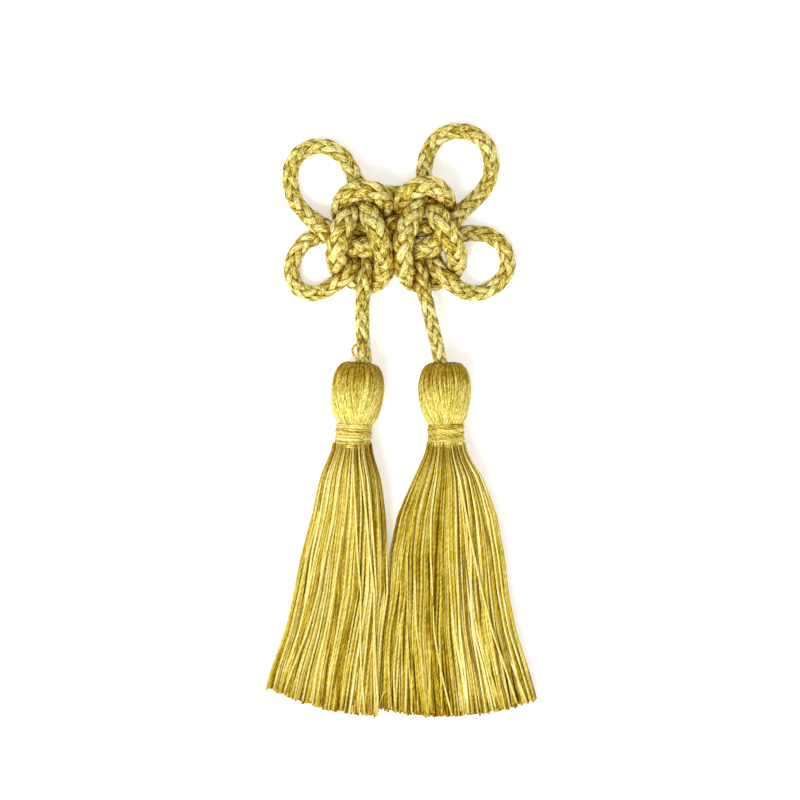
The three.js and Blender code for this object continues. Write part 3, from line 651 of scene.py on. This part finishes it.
def head_lines(tassel):
    """The combed threads of a head, from the cord over the shoulder to the neck."""
    chance = np.random.default_rng(tassel["seed"])
    place, across, up = tassel_axis(tassel)
    below, radius, even = even_profile(HEAD_PROFILE, HEAD_SECTIONS)
    share = even / even[-1]
    lines = []
    for size, count in HEAD_THREADS:
        for k in range(count):
            start = 2 * math.pi * (k + chance.uniform(-HEAD_STRAY, HEAD_STRAY)) / count
            slant = chance.normal(HEAD_SLANT, HEAD_SLANT_SPREAD)
            gather = GATHER * math.sin(2 * start) * ease((share - GATHER_FROM) / GATHER_OVER)
            ripple = HEAD_RIPPLE * chance.normal() * np.sin(
                even * chance.uniform(*RIPPLE_RATES) + phase(chance))
            angle = start + slant * (0.5 - share) + gather + ripple
            sink = HEAD_SINK * chance.random() + HEAD_SINK_WAVE * np.sin(
                even * chance.uniform(*SINK_RATES) + phase(chance))
            outward = np.cos(angle)[:, None] * across + np.sin(angle)[:, None] * up
            points = place(below) + outward * (radius * size - HEAD_THREAD_HALF - sink)[:, None]
            thinned = np.clip((even - even[-1] + NECK_LENGTH) / NECK_LENGTH, 0, 1)
            lines.append({
                "points": points * MM, "outer": outward,
                "along": even + chance.uniform(0, HEAD_NOISE_START),
                "shade": chance.random(), "girth": 1 - NECK_THINNING * thinned,
                "deep": HEAD_DARK + INNER_LAYER_PAINTED_SHADE * (size < 1)
                + PAINTED_SHADE_TOP * ease((chance.normal(PAINTED_SHADE_TOP_LENGTH, PAINTED_SHADE_TOP_SPREAD) - even)
                                  / PAINTED_SHADE_TOP_FADE)
                - PAINTED_SHEEN_LOW * ease((even - PAINTED_SHEEN_LOW_FROM) / PAINTED_SHEEN_LOW_FADE)})
    return lines


# The tones of the cores, the bindings, the skirts and the loop, a little less green than the cord
# and the combed threads of the heads.
GOLDS = [(0.23, 0.12, 0.0), (0.56, 0.42, 0.03), (0.83, 0.71, 0.2), (0.98, 0.94, 0.5)]
head_finish = rayon("combed_rayon", CORD_GOLDS, contrast=(0.3, 0.3, 1.1), filaments=(6, 1.6, 0.1),
                    plies=(2.6, 0.06, 0.35))
# The cores are painted only in the two darkest tones, as shade where they show between the threads over
# them.
painted_shade_core_finish = rayon("inner_rayon", GOLDS[:2], contrast=(0.3, 0.3, 0.3), filaments=(6, 2.0, 0.1),
                    plies=(3.0, 0.1, 0.2), roughness=0.6)

# The inside of a head: this far down and inwards from its threads, but never thinner than the
# last of these, and on through the binding to its foot.
HEAD_CORE_DROP, HEAD_CORE_INSET, HEAD_CORE_LEAST = 0.35, 0.75, 1.0
HEAD_CORE_FOOT = (21, 3.3)
HEAD_CORE_SIDES = 32
head_core_profile = [(distance + HEAD_CORE_DROP, max(radius - HEAD_CORE_INSET, HEAD_CORE_LEAST))
                     for distance, radius in HEAD_PROFILE[1:]] + [HEAD_CORE_FOOT]


def turned_core(name, tassel, profile, sides, finish):
    """A closed turned body about a tassel's axis, from rows of distance and radius."""
    place, across, up = tassel_axis(tassel)
    vertices, faces = [], []
    for distance, radius in profile:
        for k in range(sides):
            angle = 2 * math.pi * k / sides
            outward = math.cos(angle) * across + math.sin(angle) * up
            vertices.append((place(distance) + radius * outward) * MM)
    rows = len(profile)
    for r in range(rows - 1):
        for k in range(sides):
            a, b = r * sides + k, r * sides + (k + 1) % sides
            faces.append((a, b, b + sides, a + sides))
    faces.append(tuple(reversed(range(sides))))
    faces.append(tuple(range((rows - 1) * sides, rows * sides)))
    mesh = bpy.data.meshes.new(name)
    mesh.from_pydata([tuple(v) for v in vertices], [], faces)
    mesh.materials.append(finish)
    mesh.polygons.foreach_set("use_smooth", [True] * len(mesh.polygons))
    body = bpy.data.objects.new(name, mesh)
    bpy.context.scene.collection.objects.link(body)
    return body


for side, tassel in TASSELS.items():
    head = lay_threads(f"head_{side}", head_lines(tassel), head_finish,
                       HEAD_THREAD_HALF * HEAD_THREAD_WIDENING * MM, HEAD_THREAD_HALF * MM, corners=6)
    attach(head, "root")
    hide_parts(f"tassel_{side}")
    inside = turned_core(f"head_core_{side}", tassel, head_core_profile, HEAD_CORE_SIDES, painted_shade_core_finish)
    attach(inside, "root")
    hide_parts(f"tassel_{side}")


# The bindings. Each neck is whipped with one length of the same rayon, ten and a half close turns
# pulled tight over an inner layer, and a few turns ride over them where the winder ran back.
BINDING_START, BINDING_END = 14.95, 20.45
BINDING_RADIUS = 4.08
# The thread is pressed to this share of its width.
BINDING_HALF, BINDING_PRESSED = 0.3, 0.85
# Columns: turns, where they start and end below the head's top, radius, wander, in millimetres.
BINDING_LAYERS = [
    (10.6, BINDING_START, BINDING_END, BINDING_RADIUS, 0.04),
    (9.0, BINDING_END - 0.2, BINDING_START + 0.3, BINDING_RADIUS - 0.3, 0.03),
    (3.2, BINDING_START + 0.8, BINDING_END - 0.6, BINDING_RADIUS + 0.18, 0.1),
]
TURN_SECTIONS = 40
# Waves for each turn of the winding: of its wander, of its lift off the neck and of its shade.
WANDER_RATES = (0.31, 0.73, 1.0, 2.0)
WINDING_LIFT, LIFT_RATE = 0.05, 0.37
SHADE_SWING, SHADE_RATE = 0.4, 0.19
# Painted shade: how far the thread darkens where it points up by less than the second number.
WINDING_SIDE_PAINTED_SHADE, WINDING_SIDE_UP = 0.4, 0.55


def binding_line(tassel, turns, start, end, radius, wander, seed):
    """One layer of thread wound round a neck."""
    chance = np.random.default_rng(seed)
    place, across, up = tassel_axis(tassel)
    count = int(turns * TURN_SECTIONS) + 1
    angle = np.linspace(0, 2 * math.pi * turns, count) + phase(chance)
    share = np.linspace(0, 1, count)
    waves = sum(chance.normal() * np.sin(angle * rate + phase(chance)) for rate in WANDER_RATES)
    distance = start + (end - start) * share + wander * waves
    outward = np.cos(angle)[:, None] * across + np.sin(angle)[:, None] * up
    lift = radius + WINDING_LIFT * np.sin(angle * LIFT_RATE + phase(chance))
    return {"points": (place(distance) + outward * lift[:, None]) * MM, "outer": outward,
            "girth": 1.0, "along": angle * radius,
            "shade": 0.5 + SHADE_SWING * np.sin(angle * SHADE_RATE + phase(chance)),
            "deep": WINDING_SIDE_PAINTED_SHADE * np.clip(WINDING_SIDE_UP - outward[:, 2], 0, 1)}


binding_finish = rayon("whipped_rayon", GOLDS, contrast=(0.5, 0.4, 1.3), filaments=(9, 4.0, 0.1),
                       plies=(7.0, 0.06, 0.3))
for side, tassel in TASSELS.items():
    lines = [binding_line(tassel, *layer, tassel["seed"] + number)
             for number, layer in enumerate(BINDING_LAYERS, 1)]
    whipping = lay_threads(f"binding_thread_{side}", lines, binding_finish,
                           BINDING_HALF * MM, BINDING_HALF * BINDING_PRESSED * MM, corners=10)
    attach(whipping, "root")
    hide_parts(f"binding_{side}")


# The skirts. The ends of the same threads hang free below the binding: two-ply twisted rayon, cut
# off nearly straight. Lying down, they spread into a fan that is flat underneath.
SPREAD_LENGTH = 15.4
# How far the spread skirt's upper and lower halves are squared and its underside is pressed flat.
CROWN, BASE, UNDERSIDE = 0.3, 0.5, 0.25
SKIRT_THREADS = 570
SKIRT_SECTIONS = 32
SKIRT_THREAD_HALF = 0.3
# The threads reach this far past the edges in the skirt's table.
SKIRT_REACH = 0.4
# Each thread stands a golden turn on from the one before and further in, most of them near the
# outside, down to a size of 1 - SKIRT_DEPTH.
GOLDEN_TURN = math.pi * (3 - math.sqrt(5))
SKIRT_DEPTH, OUTSIDE_SHARE, DEPTH_RANGE = 0.8, 1.6, (0.85, 1)
ROOT_SPREAD, TIP_DRIFT = 0.05, 0.1
STRAY_SIZE, STRAY_SHADE = 1.14, 0.75
# The threads draw together in clumps: how many round the neck, their pull, the power of the length
# that brings it on late, and how far they turn on the way to the tip, in radians.
CLUMP_RATES, CLUMP_PULL, CLUMP_LATE, CLUMP_TURN = (7, 11, 17), 0.35, 1.4, (1, 4)
# The spread of the cut, how much shorter the shortest threads are, and the power that makes them few.
CUT_SPREAD, CUT_SHORT, SHORT_RARE = 0.3, 0.8, 4
# Passes that settle a thread's tip at its length from the neck, and its root's depth in the binding.
TIP_PASSES = 4
ROOT_DEPTH = 1.2
# How far a thread moves in and out of the bundle, and at what rates.
SIZE_WAVE, SIZE_RATES = 0.06, (2, 6)
# How loosely a thread hangs at the neck and at the tip. It sways across and up in a slow wave and a
# quick one, the quicker the narrower.
LOOSE_ROOT, LOOSE_TIP, LOOSE_LATE = 0.04, 0.4, 1.3
SWAY_ACROSS, SWAY_UP, SWAY_WIDTH = 0.6, 0.4, 4
SLOW_RATES, QUICK_RATES = (3, 7), (8, 15)
# A thread is thinner at its root, over this share of its length, and no two are quite alike.
ROOT_GIRTH, ROOT_GIRTH_OVER, GIRTH_RANGE = 0.6, 0.3, (0.82, 1.15)
# How far a thread darkens: inside the bundle, as painted shade; by chance; at its root and at its tip.
INSIDE_PAINTED_SHADE, CHANCE_DARK = 0.33, 0.05
ROOT_DARK, ROOT_DARK_OVER = 0.22, 0.14
TIP_DARK, TIP_DARK_FROM, TIP_DARK_OVER = 0.2, 0.93, 0.07
SKIRT_NOISE_START = 4
# The skirt's random draws start from the tassel's seed and this.
SKIRT_SEED = 5
# Keeps zero out of a power.
LEAST_LIFT = 1e-9


def skirt_place(tassel, size, angle, y):
    """Where a thread of a ring lies at a height y: on a circle at the neck, then on a flat dome."""
    rows = np.array(tassel["skirt"], float)[::-1]
    left, right, middle, half = (np.interp(y, rows[:, 0], rows[:, k]) for k in range(1, 5))
    spread = ease((tassel["neck"][1] - y) / SPREAD_LENGTH)
    rise = np.sin(angle)
    lift = np.abs(rise) + LEAST_LIFT
    dome = lift ** (1 - CROWN * spread)
    flat = np.minimum(1, (1 + UNDERSIDE * spread) * lift ** (1 - BASE * spread))
    half_width = (right - left) / 2 - SKIRT_THREAD_HALF + SKIRT_REACH
    x = (left + right) / 2 + size * half_width * np.cos(angle)
    z = middle + size * (half - SKIRT_THREAD_HALF) * np.where(rise > 0, dome, -flat)
    return x, z, left, right


def skirt_lines(tassel):
    """The threads of a skirt and its strays, from inside the binding to the cut."""
    chance = np.random.default_rng(tassel["seed"] + SKIRT_SEED)
    neck_x, neck_y = tassel["neck"]
    reach_left, reach_right = tassel["reach"]
    share = np.linspace(0, 1, SKIRT_SECTIONS)
    clumps = [(rate, phase(chance), chance.uniform(*CLUMP_TURN)) for rate in CLUMP_RATES]
    # Columns: size, angle at the neck, how far it turns on the way to the tip.
    ways = [(1 - SKIRT_DEPTH * (k / SKIRT_THREADS) ** OUTSIDE_SHARE * chance.uniform(*DEPTH_RANGE),
             k * GOLDEN_TURN + chance.normal(0, ROOT_SPREAD), chance.normal(0, TIP_DRIFT))
            for k in range(SKIRT_THREADS)]
    ways += [(STRAY_SIZE, start, end - start) for start, end in tassel["strays"]]
    lines = []
    for size, start, drift in ways:
        clump = sum(CLUMP_PULL / rate * np.sin(rate * start + begin + turn * share)
                    for rate, begin, turn in clumps)
        angle = start + (drift + clump) * share ** CLUMP_LATE
        length = reach_left + (reach_right - reach_left) * (1 + size * math.cos(start + drift)) / 2
        length += chance.normal(0, CUT_SPREAD) - CUT_SHORT * chance.random() ** SHORT_RARE
        tip = neck_y - length
        for _ in range(TIP_PASSES):
            tip_x = skirt_place(tassel, size, angle[-1], tip)[0]
            tip = neck_y - math.sqrt(length ** 2 - (tip_x - neck_x) ** 2)
        root = neck_y + ROOT_DEPTH
        y = root + (tip - root) * share
        size_wave = SIZE_WAVE * chance.normal() * np.sin(
            share * chance.uniform(*SIZE_RATES) + phase(chance))
        x, z, left, right = skirt_place(tassel, size * (1 + size_wave), angle, y)
        loose = LOOSE_ROOT + LOOSE_TIP * share ** LOOSE_LATE
        for rate in (chance.uniform(*SLOW_RATES), chance.uniform(*QUICK_RATES)):
            x = x + loose * SWAY_ACROSS * chance.normal() * np.sin(
                share * rate + phase(chance)) * SWAY_WIDTH / rate
            z = z + loose * SWAY_UP * chance.normal() * np.sin(
                share * rate + phase(chance)) * SWAY_WIDTH / rate
        girth = ROOT_GIRTH + (1 - ROOT_GIRTH) * ease(share / ROOT_GIRTH_OVER)
        girth = girth * chance.uniform(*GIRTH_RANGE)
        half = SKIRT_THREAD_HALF * girth
        x = np.clip(x, left + half - SKIRT_REACH, right - half + SKIRT_REACH)
        z = np.maximum(z, half)
        lines.append({
            "points": np.stack([x, y, z], axis=1) * MM,
            "outer": np.tile((0.0, 0.0, 1.0), (len(share), 1)), "girth": girth,
            "along": share * length + chance.uniform(0, SKIRT_NOISE_START),
            "shade": STRAY_SHADE if size > 1 else chance.random(),
            "deep": INSIDE_PAINTED_SHADE * (1 - size) + CHANCE_DARK * chance.random()
            + ROOT_DARK * ease(1 - share / ROOT_DARK_OVER)
            + TIP_DARK * ease((share - TIP_DARK_FROM) / TIP_DARK_OVER)})
    return lines


skirt_finish = rayon("twisted_rayon", GOLDS, contrast=(0.75, 0.3, 0.6), filaments=(6, 2.5, 0.05),
                     plies=(2.4, 0.05, 0.24))
for side, tassel in TASSELS.items():
    skirt = lay_threads(f"skirt_{side}", skirt_lines(tassel), skirt_finish,
                        SKIRT_THREAD_HALF * MM, SKIRT_THREAD_HALF * MM, corners=5)
    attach(skirt, "root")
    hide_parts(f"tassel_{side}")


# The thread loop. The end of the rayon thread that ties the left head stands out of its top as a
# small two-ply loop, with both of its ends inside the head.
# Columns: x, y, height of the middle, in millimetres.
LOOP_ROUTE = [
    (-10.5, 12.2, 7.9), (-10.7, 13.6, 8.4), (-11.1, 15.1, 8.6), (-11.7, 15.9, 8.4),
    (-11.9, 16.9, 8.4), (-11.4, 17.8, 8.6), (-10.6, 18.1, 8.8), (-9.8, 17.8, 8.9),
    (-9.2, 16.9, 8.9), (-9.2, 15.8, 8.9), (-9.5, 13.9, 8.5), (-9.7, 12.2, 7.9),
]
LOOP_STEP = 0.12 * MM
LOOP_PLY_TURN = 1.6 * MM
LOOP_HALF = 0.2 * MM
# A ply's middle lies this share of its half width from the middle of the loop's thread.
PLY_PLACE = 0.9
LOOP_SHADE, LOOP_PLY_SHADE = 0.4, 0.1
loop_points, loop_distances, _ = curve_through(np.array(LOOP_ROUTE) * MM, LOOP_STEP)
loop_across, loop_up = carried_frames(loop_points, (0, 0, 1))
loop_lines = []
for start in (0, math.pi):
    angle = start + 2 * math.pi * loop_distances / LOOP_PLY_TURN
    outward = loop_across * np.cos(angle)[:, None] + loop_up * np.sin(angle)[:, None]
    loop_lines.append({"points": loop_points + outward * LOOP_HALF * PLY_PLACE, "outer": outward,
                       "girth": 1.0, "along": loop_distances / MM,
                       "shade": LOOP_SHADE + LOOP_PLY_SHADE * start, "deep": 0.0})
loop = lay_threads("loop_thread", loop_lines, binding_finish, LOOP_HALF, LOOP_HALF, corners=8)
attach(loop, "root")
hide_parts("thread_loop")
